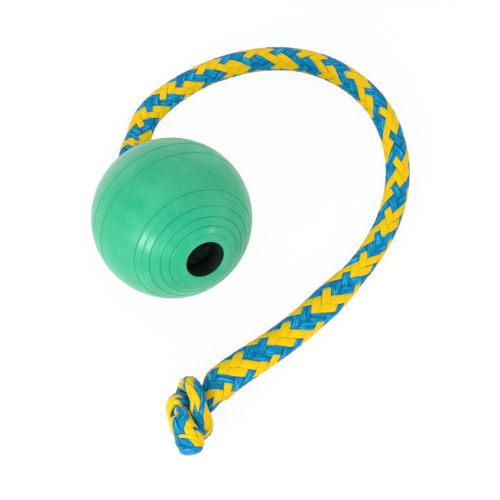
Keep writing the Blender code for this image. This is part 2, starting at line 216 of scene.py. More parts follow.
# Reach from the rope's line to its surface: the reach where nothing limits it, the least height,
# offset and slope that are counted, and how sharply the least of several limits is taken
FREE_REACH = 1.0
LEAST_HEIGHT = 0.1 * MM
LEAST_ACROSS = 0.01 * MM
LEAST_SLOPE = 0.01
LEAST_OF_POWER = 10

# Melted tip: rings of its dome, how wide its top stays and how small its last ring is
TIP_RING_COUNT = 6
TIP_TOP_SHARE = 0.25
TIP_LAST_SHARE = 0.02

# Attributes of the meshes: how deep in a moulded ring a point is, and how far under other tapes.
# Both go from 0 to 1
RING_SHADE = "ring_shade"
DIP_SHADE = "dip_shade"

# Finishes: spans of a pattern's value over which a tint comes in, and how much of it there is
WHOLE_SPAN = (0.0, 1.0)
NOISE_SPAN = (0.35, 0.65)
SPECK_SPAN = (0.09, 0.05)
WEAR_SPAN = (0.46, 0.72)
WEAR_SHARE = 0.6
# Painted shade in the moulded rings: where it comes in, and how much of it stays where worn
RING_SPAN = (0.1, 0.7)
RING_FADE_SPAN = (0.42, 0.62)
RING_FADED_SHARE = 0.25
RUBBER_ROUGHNESS_SPAN = (0.5, 0.6)
RUBBER_COAT_SHARE = 0.6
# Painted shade where a tape goes under others, for each colour
DIP_SPAN = (0.12, 0.5)
DIP_DARK_SHARE = 0.3
YELLOW_DIP_SHARE = 0.15
BLUE_DIP_SHARE = 0.7
# Painted glints on the blue tapes: where the fibre pattern comes in, and how pale
STREAK_SPAN = (0.82, 1.0)
STREAK_SHARE = 0.9
MELTED_BLUE_SPAN = (0.35, 0.5)
MELTED_PALE_SPAN = (0.56, 0.62)
MELTED_YELLOW_SPAN = (0.66, 0.7)
DEEP_YELLOW_SHARES = (0.92, 0.86, 1.0)
DEEP_BLUE_SHARES = (1.0, 0.62, 0.72)

# Finishes: folds and fibres for a metre along a tape and for its width, and heights of relief
FOLD_SCALE = (110.0, 9.0, 1.0)
FIBRE_SCALE = (160.0, 40.0, 1.0)
GRAIN_RELIEF = 0.1 * MM
FOLD_RELIEF = 0.5 * MM
FIBRE_RELIEF = 0.12 * MM
MELTED_RELIEF = 0.8 * MM

# Sampling: steps round and along the ball and the rope, and how near points are merged
BALL_STEP_DEG = 1.5
RING_REACH_SHARE = 1.3
RING_POINT_COUNT = 15
CAVITY_POINT_COUNT = 60
BALL_MERGE = MM / 1000
BRAID_MERGE = MM / 10000
SMOOTH_PASS_COUNT = 6
ROW_SPACING = 0.7 * MM
ROUND_COUNT = 96
TAPE_AROUND_COUNT = 10
CORE_AROUND_COUNT = 24

# Camera
PHOTO_LENS_MM = 82.8
PHOTO_SENSOR_MM = 36.0
CAMERA_PLACE = Vector((0.1486, -0.0572, 0.4711))
CAMERA_ELEVATION_DEG = 72.0
CAMERA_TURN_DEG = 57.53

# Stage: where the lamps point, each lamp's direction from there as shares of the camera's right,
# up and back, its distance and its size, and how much of the floor's glow the camera and
# reflections see
LAMP_AIM = Vector((0, 0.02, 0.02))
LEFT_LAMP_SHARES = (-0.55, -0.52, 0.66)
RIGHT_LAMP_SHARES = (0.84, -0.28, 0.48)
TOP_LAMP_SHARES = (0.1, 0.75, 0.7)
SIDE_LAMP_DISTANCE = 0.8
TOP_LAMP_DISTANCE = 0.9
LEFT_LAMP_SIZE = 0.28
RIGHT_LAMP_SIZE = 0.08
TOP_LAMP_SIZE = 0.9
FLOOR_SIZE = 3.0
FLOOR_GLOW_SHARE = 0.92
MIRRORED_FLOOR_SHARE = 0.3


def screen_colour(red, green, blue):
    """Linear colour of an 8-bit screen colour."""
    shares = [channel / 255 for channel in (red, green, blue)]
    return tuple(c / 12.92 if c <= 0.04045 else ((c + 0.055) / 1.055) ** 2.4 for c in shares)


class BallLooks(PropertyGroup):
    """Fine shape and finish of the ball."""
    segments: IntProperty(name="Segments", description="Faces round the bore", default=240)
    ring_width: FloatProperty(name="Ring width", description="Width of a moulded ring",
                              default=0.9 * MM, unit="LENGTH", precision=5)
    ring_depth: FloatProperty(name="Ring depth", description="Depth of a deep ring",
                              default=0.22 * MM, unit="LENGTH", precision=5)
    faint_depth: FloatProperty(name="Faint ring depth", description="Depth of a faint ring",
                               default=0.1 * MM, unit="LENGTH", precision=5)
    edge_round: FloatProperty(name="Edge round", description="Radius of the mouth's edge",
                              default=0.4 * MM, unit="LENGTH", precision=5)
    rubber: FloatVectorProperty(name="Rubber", description="Main colour of the rubber",
                                subtype="COLOR", default=screen_colour(14, 178, 129))
    rubber_pale: FloatVectorProperty(name="Pale rubber", description="Where it is worn paler",
                                     subtype="COLOR", default=screen_colour(78, 194, 152))
    rubber_deep: FloatVectorProperty(name="Deep rubber", description="Where it is fresher",
                                     subtype="COLOR", default=screen_colour(4, 167, 118))
    # Painted shade: the darker green tinted into the moulded rings' grooves
    ring_painted_shade: FloatVectorProperty(name="Rings", description="Bottom of the moulded rings",
                                     subtype="COLOR", default=screen_colour(0, 158, 110))
    # Painted shade: near-black green that stands for the shade in the mouth's tunnel
    tunnel: FloatVectorProperty(name="Mouth", description="Painted shade of the mouth's tunnel",
                                subtype="COLOR", default=screen_colour(28, 54, 50))
    cavity: FloatVectorProperty(name="Cavity", description="Pale foam of the cavity's wall",
                                subtype="COLOR", default=screen_colour(196, 228, 214))


class RopeLooks(PropertyGroup):
    """Tapes and finish of the braided rope."""
    tape_width_share: FloatProperty(name="Tape width", description="Share of its place that a tape "
                                    "fills", default=1.03, subtype="FACTOR")
    tape_thickness: FloatProperty(name="Tape thickness", description="Thickness of one tape",
                                  default=0.4 * MM, unit="LENGTH", precision=5)
    tape_crown: FloatProperty(name="Tape crown", description="Rise of a tape's middle",
                              default=0.1 * MM, unit="LENGTH", precision=5)
    tape_lift: FloatProperty(name="Tape lift", description="Rise and fall of a tape from its mean",
                             default=0.24 * MM, unit="LENGTH", precision=5)
    yellow: FloatVectorProperty(name="Yellow tape", description="Matte yellow tape",
                                subtype="COLOR", default=screen_colour(248, 206, 0))
    blue: FloatVectorProperty(name="Blue tape", description="Glossy blue tape",
                              subtype="COLOR", default=screen_colour(0, 141, 194))
    # Painted glints: pale streaks on the blue tapes, also the pale swirls of the fused tips
    blue_pale_and_glint: FloatVectorProperty(name="Pale blue streaks", description="Painted glints of a blue tape",
                                   subtype="COLOR", default=screen_colour(60, 215, 250))
    # Painted shade: the dark tube seen in the gaps between the tapes
    shade: FloatVectorProperty(name="Inside of the braid", description="Dark between the tapes",
                               subtype="COLOR", default=screen_colour(6, 44, 66))


class StageLooks(PropertyGroup):
    """Floor, lamps and world."""
    floor: FloatVectorProperty(name="Floor", description="Pale floor", subtype="COLOR",
                               default=screen_colour(246, 246, 246))
    key_watts: FloatProperty(name="Left lamp", description="Power of the left lamp", default=3.0,
                             unit="POWER")
    side_watts: FloatProperty(name="Right lamp", description="Power of the right lamp",
                              default=0.42, unit="POWER")
    top_watts: FloatProperty(name="Top lamp", description="Power of the top lamp", default=0.4,
                             unit="POWER")
    world_strength: FloatProperty(name="World", description="Strength of the white surroundings",
                                  default=0.85)


def new_material(name):
    """Empty material, its node tree and its shader."""
    material = bpy.data.materials.new(name)
    material.use_nodes = True
    return material, material.node_tree, material.node_tree.nodes["Principled BSDF"]


def feed(tree, socket, value):
    """Give an input another node's output, a number or a colour."""
    if isinstance(value, bpy.types.NodeSocket):
        tree.links.new(value, socket)
    elif socket.type == "RGBA":
        socket.default_value = (*value[:3], 1.0)
    else:
        socket.default_value = value


def feed_all(tree, node, **inputs):
    """Feed a node's inputs by their names, in which underscores stand for spaces."""
    for key, value in inputs.items():
        feed(tree, node.inputs[key.replace("_", " ")], value)
    return node


def add_node(tree, kind, settings=None, **inputs):
    """Node of a kind, with its settings made and its inputs fed."""
    node = tree.nodes.new(kind)
    for key, value in (settings or {}).items():
        setattr(node, key, value)
    return feed_all(tree, node, **inputs)


def mixed_colour(tree, mask, low, high):
    """Colour that goes from low to high as a mask goes from 0 to 1."""
    mix = add_node(tree, "ShaderNodeMix", {"data_type": "RGBA"}, Factor=mask)
    feed(tree, mix.inputs[6], low)
    feed(tree, mix.inputs[7], high)
    return mix.outputs[2]


def worked_out(tree, operation, first, second):
    """Result of a sum on two values."""
    node = add_node(tree, "ShaderNodeMath", {"operation": operation})
    feed(tree, node.inputs[0], first)
    feed(tree, node.inputs[1], second)
    return node.outputs[0]


def ramped(tree, value, span, to=WHOLE_SPAN):
    """Value taken from one span to another, clamped."""
    return add_node(tree, "ShaderNodeMapRange", Value=value, From_Min=span[0], From_Max=span[1],
                    To_Min=to[0], To_Max=to[1]).outputs["Result"]


def new_group(name, inputs, masks):
    """Group with its inputs, its masks and a bent normal: its tree, its start and its end."""
    tree = bpy.data.node_groups.new(name, "ShaderNodeTree")
    for key in inputs:
        tree.interface.new_socket(key, in_out="INPUT", socket_type="NodeSocketFloat")
    for key in masks:
        tree.interface.new_socket(key, in_out="OUTPUT", socket_type="NodeSocketFloat")
    tree.interface.new_socket("Normal", in_out="OUTPUT", socket_type="NodeSocketVector")
    return tree, tree.nodes.new("NodeGroupInput"), tree.nodes.new("NodeGroupOutput")


def mottle_group(name):
    """Soft mottling and fine grain of moulded rubber: two masks and a bent normal."""
    tree, start, end = new_group(name, ("Patch scale", "Grain scale", "Grain height"),
                                 ("Patches", "Specks"))
    place = tree.nodes.new("ShaderNodeTexCoord").outputs["Object"]
    patches = add_node(tree, "ShaderNodeTexNoise", Vector=place, Detail=3.0, Roughness=0.5,
                       Scale=start.outputs["Patch scale"])
    grain = add_node(tree, "ShaderNodeTexNoise", Vector=place, Detail=2.0, Roughness=0.6,
                     Scale=start.outputs["Grain scale"])
    specks = add_node(tree, "ShaderNodeTexVoronoi", Vector=place, Scale=420.0)
    bump = add_node(tree, "ShaderNodeBump", Distance=GRAIN_RELIEF, Height=grain.outputs["Fac"],
                    Strength=start.outputs["Grain height"])
    feed_all(tree, end, Patches=ramped(tree, patches.outputs["Fac"], NOISE_SPAN),
             Specks=ramped(tree, specks.outputs["Distance"], SPECK_SPAN),
             Normal=bump.outputs["Normal"])
    return tree


def fibre_group(name):
    """Lengthwise folds and fibres of a flat tape: a fold mask, a fibre mask and a bent normal."""
    tree, start, end = new_group(name, ("Fold height", "Fibre height"), ("Folds", "Fibres"))
    place = tree.nodes.new("ShaderNodeTexCoord").outputs["UV"]
    found = []
    for scale in (FOLD_SCALE, FIBRE_SCALE):
        stretch = add_node(tree, "ShaderNodeMapping", Vector=place, Scale=scale)
        noise = add_node(tree, "ShaderNodeTexNoise", {"noise_dimensions": "2D"}, Scale=1.0,
                         Vector=stretch.outputs["Vector"], Detail=2.0, Roughness=0.55)
        found.append(noise.outputs["Fac"])
    folds, fibres = found
    fold_bump = add_node(tree, "ShaderNodeBump", Distance=FOLD_RELIEF, Height=folds,
                         Strength=start.outputs["Fold height"])
    fibre_bump = add_node(tree, "ShaderNodeBump", Distance=FIBRE_RELIEF, Height=fibres,
                          Strength=start.outputs["Fibre height"],
                          Normal=fold_bump.outputs["Normal"])
    feed_all(tree, end, Folds=ramped(tree, folds, NOISE_SPAN),
             Fibres=ramped(tree, fibres, NOISE_SPAN), Normal=fibre_bump.outputs["Normal"])
    return tree


def placed_group(tree, name, maker, **inputs):
    """Node that holds a group which several materials use, made on its first use."""
    group = bpy.data.node_groups.get(name) or maker(name)
    return add_node(tree, "ShaderNodeGroup", {"node_tree": group}, **inputs)


def rubber_material(looks):
    """Soft green rubber: mottled, finely grained, worn in places, with a few pale specks."""
    material, tree, shader = new_material("green rubber")
    mottle = placed_group(tree, "rubber mottle", mottle_group,
                          Patch_scale=38.0, Grain_scale=1100.0, Grain_height=0.25)
    patches = mottle.outputs["Patches"]
    place = tree.nodes.new("ShaderNodeTexCoord").outputs["Object"]
    worn = add_node(tree, "ShaderNodeTexNoise", Vector=place, Scale=55.0, Detail=4.0,
                    Roughness=0.6).outputs["Fac"]
    ring = add_node(tree, "ShaderNodeAttribute", {"attribute_name": RING_SHADE})
    in_ring = ramped(tree, ring.outputs["Fac"], RING_SPAN)
    ring_kept = ramped(tree, worn, RING_FADE_SPAN, (1.0, RING_FADED_SHARE))
    tint = mixed_colour(tree, patches, looks.rubber_deep, looks.rubber)
    tint = mixed_colour(tree, ramped(tree, worn, WEAR_SPAN, (0.0, WEAR_SHARE)), tint,
                        looks.rubber_pale)
    tint = mixed_colour(tree, mottle.outputs["Specks"], tint, looks.rubber_pale)
    # Painted shade: the rings' grooves tinted darker green, fading where the rubber is worn
    tint = mixed_colour(tree, worked_out(tree, "MULTIPLY", in_ring, ring_kept), tint,
                        looks.ring_painted_shade)
    feed_all(tree, shader, Base_Color=tint, Normal=mottle.outputs["Normal"],
             Roughness=ramped(tree, patches, WHOLE_SPAN, RUBBER_ROUGHNESS_SPAN),
             Specular_IOR_Level=0.1, Sheen_Weight=0.18, Sheen_Roughness=0.5,
             Coat_Weight=ramped(tree, in_ring, WHOLE_SPAN, (RUBBER_COAT_SHARE, 0.0)),
             Coat_Roughness=0.24)
    return material


def inside_material(name, colour):
    """Mottled inside surface: painted shade for the mouth, pale foam for the cavity."""
    material, tree, shader = new_material(name)
    mottle = placed_group(tree, "rubber mottle", mottle_group,
                          Patch_scale=160.0, Grain_scale=700.0, Grain_height=0.5)
    darker = [channel / 2 for channel in colour]
    feed_all(tree, shader, Normal=mottle.outputs["Normal"], Roughness=0.55,
             Base_Color=mixed_colour(tree, mottle.outputs["Patches"], darker, colour))
    return material


def deeper(colour, shares):
    """Colour with its red, green and blue lowered to shares of what they are."""
    return [channel * share for channel, share in zip(colour, shares)]


def shaded_at_dips(tree, tint, colour, amount):
    """Tint of a tape with painted shade, darker where the tape goes under others."""
    dip = add_node(tree, "ShaderNodeAttribute", {"attribute_name": DIP_SHADE})
    mask = ramped(tree, dip.outputs["Fac"], DIP_SPAN, (0.0, amount))
    return mixed_colour(tree, mask, tint, [channel * DIP_DARK_SHARE for channel in colour])


def yellow_material(looks):
    """Matte yellow tape with fine lengthwise fibres."""
    material, tree, shader = new_material("yellow tape")
    fibres = placed_group(tree, "tape fibres", fibre_group, Fold_height=0.25, Fibre_height=0.2)
    tint = mixed_colour(tree, fibres.outputs["Fibres"],
                        deeper(looks.yellow, DEEP_YELLOW_SHARES), looks.yellow)
    feed_all(tree, shader, Normal=fibres.outputs["Normal"], Roughness=0.5,
             Base_Color=shaded_at_dips(tree, tint, looks.yellow, YELLOW_DIP_SHARE),
             Specular_IOR_Level=0.1)
    return material


def blue_material(looks):
    """Glossy blue tape, deeper in its folds' hollows, with glints painted as pale streaks."""
    material, tree, shader = new_material("blue tape")
    fibres = placed_group(tree, "tape fibres", fibre_group, Fold_height=0.7, Fibre_height=0.6)
    tint = mixed_colour(tree, fibres.outputs["Folds"],
                        deeper(looks.blue, DEEP_BLUE_SHARES), looks.blue)
    # Painted glints: pale streaks where the fibre pattern is high
    streaks = ramped(tree, fibres.outputs["Fibres"], STREAK_SPAN, (0.0, STREAK_SHARE))
    tint = mixed_colour(tree, streaks, tint, looks.blue_pale_and_glint)
    feed_all(tree, shader, Normal=fibres.outputs["Normal"], Roughness=0.3,
             Base_Color=shaded_at_dips(tree, tint, looks.blue, BLUE_DIP_SHARE),
             Specular_IOR_Level=0.06)
    return material


def shade_material(looks):
    """Painted shade: the dark tube inside the hollow braid, seen in the gaps between tapes."""
    material, tree, shader = new_material("braid gap painted shade")
    place = tree.nodes.new("ShaderNodeTexCoord").outputs["Object"]
    noise = add_node(tree, "ShaderNodeTexNoise", Vector=place, Scale=900.0, Detail=1.0)
    darker = [channel / 3 for channel in looks.shade]
    feed_all(tree, shader, Roughness=0.8,
             Base_Color=mixed_colour(tree, noise.outputs["Fac"], darker, looks.shade))
    return material


def fused_material(looks):
    """Tape ends melted into one glossy blue lump with a little yellow in it."""
    material, tree, shader = new_material("fused rope end")
    place = tree.nodes.new("ShaderNodeTexCoord").outputs["Object"]
    swirl = add_node(tree, "ShaderNodeTexNoise", Vector=place, Scale=260.0, Detail=3.0,
                     Distortion=1.5).outputs["Fac"]
    tint = deeper(looks.blue, DEEP_BLUE_SHARES)
    for span, colour in ((MELTED_BLUE_SPAN, looks.blue), (MELTED_PALE_SPAN, looks.blue_pale_and_glint),
                         (MELTED_YELLOW_SPAN, looks.yellow)):
        tint = mixed_colour(tree, ramped(tree, swirl, span), tint, colour)
    bump = add_node(tree, "ShaderNodeBump", Strength=0.8, Distance=MELTED_RELIEF, Height=swirl)
    feed_all(tree, shader, Base_Color=tint, Normal=bump.outputs["Normal"], Roughness=0.22,
             Specular_IOR_Level=0.2)
    return material


def rope_materials(looks):
    """Materials of a stretch of rope, in the order of its slots, made on their first use."""
    makers = (("yellow tape", yellow_material), ("blue tape", blue_material),
              ("braid gap painted shade", shade_material))
    return [bpy.data.materials.get(name) or make(looks) for name, make in makers]


def finished_piece(name, bm, materials, body, nodes):
    """Piece made from a bmesh, riding on a body in place of its CAD nodes."""
    mesh = bpy.data.meshes.new(name)
    bm.to_mesh(mesh)
    bm.free()
    for material in materials:
        mesh.materials.append(material)
    mesh.shade_smooth()
    piece = bpy.data.objects.new(name, mesh)
    bpy.context.scene.collection.objects.link(piece)
    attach(piece, body)
    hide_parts(*nodes)
    return piece


def along_bore(height):
    """Point on the bore's axis, that far from the ball's centre towards the mouth."""
    return BALL_CENTRE + BORE_AXIS * height


def bore_turn():
    """Rotation that turns +Z to the bore's axis."""
    return Matrix.Rotation(radians(90 - MOUTH_RISE_DEG), 4, "Y")


def moulded_rings(looks):
    """Angle from the mouth and depth of each moulded ring, the far half a mirror of the near."""
    rings = [(ring, looks.ring_depth) for ring in DEEP_RING_DEGS]
    rings += [(ring, looks.faint_depth) for ring in FAINT_RING_DEGS]
    return rings + [(180 - ring, depth) for ring, depth in rings]


def ring_dent(angle_deg, looks):
    """Depth of the moulded rings at an angle from the mouth."""
    dent = 0.0
    for ring, depth in moulded_rings(looks):
        off = radians(angle_deg - ring) * BALL_RADIUS / (looks.ring_width / 2)
        groove = np.exp(-GROOVE_FALLOFF * off**2)
        lips = np.exp(-LIP_FALLOFF * (abs(off) - LIP_PLACE_SHARE)**2)
        dent += depth * (groove - LIP_HEIGHT_SHARE * lips)
    return dent


def outside_angles(start, end, looks):
    """Angles down the outside of the ball, close together at the rings."""
    width_deg = 180 / pi * looks.ring_width / BALL_RADIUS
    near_ring = np.linspace(-RING_REACH_SHARE, RING_REACH_SHARE, RING_POINT_COUNT) * width_deg
    steps = set(np.linspace(start, end, ceil((end - start) / BALL_STEP_DEG)))
    for ring, _ in moulded_rings(looks):
        steps.update(ring + near_ring)
    return sorted(step for step in steps if start <= step <= end)


def edge_arc(corner, radius, from_deg, to_deg, count=6):
    """Points of a rounded edge about a corner's own centre, as (radius, height)."""
    angles = np.radians(np.linspace(from_deg, to_deg, count))
    return [(corner[0] + radius * cos(a), corner[1] + radius * sin(a)) for a in angles]


def ball_outline(looks):
    """Closed half outline of the ball's wall, as (radius, height)."""
    edge = looks.edge_round
    rim_height = sqrt(BALL_RADIUS**2 - MOUTH_RIM_RADIUS**2)
    rim_deg = np.degrees(asin(MOUTH_RIM_RADIUS / BALL_RADIUS))
    hole_deg = 180 - np.degrees(asin((ROPE_HOLE_RADIUS + edge) / BALL_RADIUS))
    outline = edge_arc((MOUTH_RADIUS + edge, rim_height - edge), edge, 180, 90)
    outline.append((MOUTH_RIM_RADIUS - edge, rim_height))
    for angle in outside_angles(rim_deg, hole_deg, looks):
        reach = BALL_RADIUS - ring_dent(angle, looks)
        outline.append((reach * sin(radians(angle)), reach * cos(radians(angle))))
    hole_out = outline[-1][1]
    outline += edge_arc((ROPE_HOLE_RADIUS + edge, hole_out + edge), edge, -90, -180)[1:]
    cavity_from = 180 - np.degrees(asin(ROPE_HOLE_RADIUS / CAVITY_RADIUS))
    cavity_to = np.degrees(asin(MOUTH_RADIUS / CAVITY_RADIUS))
    for angle in np.radians(np.linspace(cavity_from, cavity_to, CAVITY_POINT_COUNT)):
        outline.append((CAVITY_RADIUS * sin(angle), CAVITY_RADIUS * cos(angle)))
    return outline


class TOY_OT_ball(Operator):
    """Build the hollow rubber ball with its mouth, rope hole and moulded rings"""
    bl_idname = "toy.ball"
    bl_label = "Ball"

    def execute(self, context):
        looks = context.scene.toy_ball
        bm = bmesh.new()
        ring = [bm.verts.new((radius, 0, height)) for radius, height in ball_outline(looks)]
        edges = [bm.edges.new((a, b)) for a, b in zip(ring, ring[1:] + ring[:1])]
        bmesh.ops.spin(bm, geom=ring + edges, cent=(0, 0, 0), axis=(0, 0, 1), dvec=(0, 0, 0),
                       angle=2 * pi, steps=looks.segments, use_merge=True, use_duplicate=False)
        bmesh.ops.remove_doubles(bm, verts=bm.verts, dist=BALL_MERGE)
        bmesh.ops.recalc_face_normals(bm, faces=bm.faces)
        shade = bm.verts.layers.float.new(RING_SHADE)
        for vert in bm.verts:
            if vert.co.xy.length > MOUTH_RIM_RADIUS:
                vert[shade] = max(0.0, (BALL_RADIUS - vert.co.length) / looks.ring_depth)
        tunnel = MOUTH_RADIUS + looks.edge_round / 4
        for face in bm.faces:
            middle = face.calc_center_median()
            if middle.length < CAVITY_RADIUS:
                face.material_index = 2
            elif middle.z > 0 and middle.xy.length < tunnel:
                face.material_index = 1
        bmesh.ops.transform(bm, matrix=Matrix.Translation(BALL_CENTRE) @ bore_turn(),
                            verts=bm.verts)
        # The mouth's tunnel is tinted near-black green as painted shade
        materials = [rubber_material(looks), inside_material("mouth painted shade", looks.tunnel),
                     inside_material("cavity foam", looks.cavity)]
        finished_piece("rubber_ball", bm, materials, "ball", ["ball"])
        return {"FINISHED"}


def step_lengths(line):
    """Distance from each point of a line to the next."""
    return np.linalg.norm(np.diff(line, axis=0), axis=1)


def spaced(points, spacing):
    """Points evenly spaced along a line of points, ends included."""
    points = np.asarray(points, float)
    reached = np.concatenate([[0.0], np.cumsum(step_lengths(points))])
    count = max(2, round(reached[-1] / spacing) + 1)
    wanted = np.linspace(0.0, reached[-1], count)
    return np.stack([np.interp(wanted, reached, points[:, k]) for k in range(3)], axis=1)


def smooth_through(points, per_span=12):
    """Catmull-Rom curve through every point."""
    points = np.asarray(points, float)
    first = 2 * points[0] - points[1]
    last = 2 * points[-1] - points[-2]
    p = np.vstack([first, points, last])
    t = np.linspace(0.0, 1.0, per_span, endpoint=False)[:, None]
    spans = []
    for k in range(1, len(p) - 2):
        a, b, c, d = p[k - 1], p[k], p[k + 1], p[k + 2]
        cubic = 2 * b + (c - a) * t + (2 * a - 5 * b + 4 * c - d) * t**2
        spans.append((cubic + (3 * b - a - 3 * c + d) * t**3) / 2)
    return np.vstack(spans + [points[-1:]])


def loose_overhand(count, length, roll):
    """Open knotted line of a given length, standing part towards -X, before it is tightened."""
    t = np.linspace(-OVERHAND_REACH, OVERHAND_REACH, LOOSE_POINTS_PER_POINT * count)
    curl, slope = OVERHAND_DEPTHS
    line = np.stack([t**3 - 3 * t, t**4 - 4 * t**2, curl * t**5 + slope * t], axis=1)
    turn = np.array(((1, 0, 0), (0, cos(roll), -sin(roll)), (0, sin(roll), cos(roll))))
    line = line @ turn.T
    line *= length / step_lengths(line).sum()
    return spaced(line, length / (count - 1))


def facing(direction):
    """Rotation that turns +X to a direction and keeps +Y level."""
    x = direction / np.linalg.norm(direction)
    y = np.cross((0.0, 0.0, 1.0), x)
    y /= np.linalg.norm(y)
    return np.stack([x, y, np.cross(x, y)], axis=1)


def distant_pairs(line):
    """Mean step of a knot's line, and each pair of its points that isn't of one short stretch."""
    step = step_lengths(line).mean()
    near = ceil(NEIGHBOUR_SHARE * KNOT_THICKNESS / step)
    one, other = np.triu_indices(len(line), near)
    return step, one, other


def tightened(line, pull_start, pull_end):
    """Pull both ends of a knotted line until its turns lie one thickness apart."""
    step, one, other = distant_pairs(line)
    for _ in range(TIGHTEN_STEP_COUNT):
        line[0] += pull_start
        line[-1] += pull_end
        bend = np.zeros_like(line)
        bend[1:-1] = (line[:-2] + line[2:]) / 2 - line[1:-1]
        stiff = np.zeros_like(line)
        stiff[1:-1] = bend[1:-1] - (bend[:-2] + bend[2:]) / 2
        line += stiff / 4
        for _ in range(KEEP_APART_COUNT):
            apart = line[one] - line[other]
            distance = np.linalg.norm(apart, axis=1)
            close = distance < KNOT_THICKNESS
            push = (KNOT_THICKNESS - distance[close])[:, None] / 4 * apart[close]
            push /= distance[close][:, None]
            np.add.at(line, one[close], push)
            np.add.at(line, other[close], -push)
            for first in (0, 1, 0, 1):
                a = line[first:-1:2]
                b = line[first + 1::2]
                a = a[:len(b)]
                stretch = b - a
                length = np.linalg.norm(stretch, axis=1)[:, None]
                fix = (length - step) / length * stretch / 2
                line[first:first + 2 * len(b) - 1:2] += fix
                line[first + 1::2] -= fix
    return line


def knot_line(tail_turn_deg, tail_slope, roll_deg):
    """Tight overhand knot; its standing part comes from +X and its tail leaves as stated."""
    standing = np.array((1.0, 0.0, 0.0))
    turn = radians(tail_turn_deg)
    tail = np.array((cos(turn), sin(turn), tail_slope))
    tail /= np.linalg.norm(tail)
    line = loose_overhand(TIGHTEN_POINT_COUNT, KNOT_ROPE_LENGTH, radians(roll_deg))
    line = line @ facing(tail - standing).T
    pull = 2 * KNOT_ROPE_RADIUS * TIGHTEN_PULL_SHARE
    return tightened(line, standing * pull, tail * pull)


def core_span(line):
    """First and last index of the stretch of a knot that touches another stretch of it."""
    _, one, other = distant_pairs(line)
    apart = np.linalg.norm(line[one] - line[other], axis=1)
    touching = apart < TOUCHING_SHARE * KNOT_THICKNESS
    return one[touching].min(), other[touching].max()


def cut_leads(line, lead, tail):
    """Cut a knot's two ends to stated lengths beyond the stretch that touches itself."""
    step = step_lengths(line).mean()
    first, last = core_span(line)
    start = max(0, first - round(lead / step))
    end = min(len(line), last + round(tail / step) + 1)
    return line[start:end]


def seated_in_cavity(line):
    """Place the retaining knot on the bore's axis, resting on the wall round the rope's hole."""
    axis = np.array(BORE_AXIS)
    line = line @ facing(-axis).T
    line = line - line[0]
    first, last = core_span(line)
    heights = line @ axis
    reach = np.linalg.norm(line - heights[:, None] * axis, axis=1)
    room = CAVITY_RADIUS - KNOT_SEAT_CLEARANCE - KNOT_ROPE_RADIUS
    drop = (heights + np.sqrt(room**2 - reach**2))[first:last + 1].min()
    return line - drop * axis + np.array(BALL_CENTRE)


def started_on_bore(line, height):
    """Start the retaining knot's line straight along the bore's axis, at a stated height."""
    axis = np.array(BORE_AXIS)
    heights = (line - np.array(BALL_CENTRE)) @ axis
    straight_to = height + KNOT_POINT_SPACING
    kept = line[heights > straight_to + KNOT_POINT_SPACING / 2]
    return np.vstack([along_bore(height), along_bore(straight_to), kept])


def smooth_step(value, start, end):
    """0 before start, 1 after end, smooth between."""
    share = np.clip((value - start) / (end - start), 0.0, 1.0)
    return share * share * (3 - 2 * share)


def rope_route(knot_height):
    """Centre line of the free rope, from the ball's surface to the end knot."""
    exit_lengths = (0.0, ROPE_STRAIGHT_EXIT / 2, ROPE_STRAIGHT_EXIT)
    points = [tuple(along_bore(-BALL_RADIUS - JOIN_GAP - out)) for out in exit_lengths]
    flat = ROPE_RADIUS + ROPE_TO_GROUND
    points += [(x, y, flat + lift) for x, y, lift in ROPE_ROUTE]
    line = smooth_through(points)
    steps = step_lengths(line)
    share = np.concatenate([[0.0], np.cumsum(steps)]) / steps.sum()
    looser = smooth_step(share, ROPE_LOOSE_FROM_SHARE, ROPE_LOOSE_FULL_SHARE)
    rise = smooth_step(share, ROPE_RISE_FROM_SHARE, 1.0)
    swell = (ROPE_LOOSE_RADIUS - ROPE_RADIUS) * looser
    line[:, 2] += swell + rise * (knot_height - flat - swell)
    return line


def placed_end_knot(line, rope_end, arriving):
    """Turn the end knot to meet the rope and stand it on the ground."""
    turn = np.arctan2(-arriving[1], -arriving[0])
    level = np.array(((cos(turn), sin(turn), 0), (-sin(turn), cos(turn), 0), (0, 0, 1)))
    line = (line - line[0]) @ level
    start = rope_end + arriving * JOIN_GAP
    line += start + arriving * KNOT_POINT_SPACING
    return np.vstack([start, line])


def inner_line():
    """Line of the rope inside the ball, from the inner tip to the inside of the rope's hole."""
    knot = cut_leads(knot_line(RETAINING_KNOT_TAIL_TURN_DEG, 0.0, RETAINING_KNOT_ROLL_DEG),
                     WALL_THICKNESS, RETAINING_KNOT_TAIL)
    knot = seated_in_cavity(spaced(knot, KNOT_POINT_SPACING))
    return smooth_through(started_on_bore(knot, HOLE_INSIDE_HEIGHT + JOIN_GAP))[::-1]


def outer_line():
    """Line of the rope outside, from the inside of the rope's hole to the outer tip."""
    knot = cut_leads(knot_line(END_KNOT_TAIL_TURN_DEG, END_KNOT_TAIL_SLOPE, END_KNOT_ROLL_DEG),
                     END_KNOT_LEAD, END_KNOT_TAIL)
    knot = spaced(knot, KNOT_POINT_SPACING)
    height = ROPE_TO_GROUND + KNOT_ROPE_RADIUS + knot[0, 2] - knot[:, 2].min()
    route = rope_route(height)
    arriving = route[-1] - route[-2]
    arriving /= np.linalg.norm(arriving)
    knot = smooth_through(placed_end_knot(knot, route[-1], arriving))
    return np.vstack([along_bore(HOLE_INSIDE_HEIGHT), route, knot])


def square_to(along, directions):
    """Directions turned square to the line's own direction, each of length 1."""
    across = directions - (directions * along).sum(axis=1)[:, None] * along
    return across / np.linalg.norm(across, axis=1)[:, None]


def carried(along, start):
    """Carry a direction along a line without twisting it."""
    faces = [Vector(start)]
    for before, after in zip(along[:-1], along[1:]):
        turn = Vector(before).rotation_difference(Vector(after))
        faces.append(turn @ faces[-1])
    return square_to(along, np.array(faces))


def facing_camera(centre, along):
    """Direction across the rope that faces the camera, at each point of a line."""
    return square_to(along, np.array(CAMERA_PLACE) - centre)


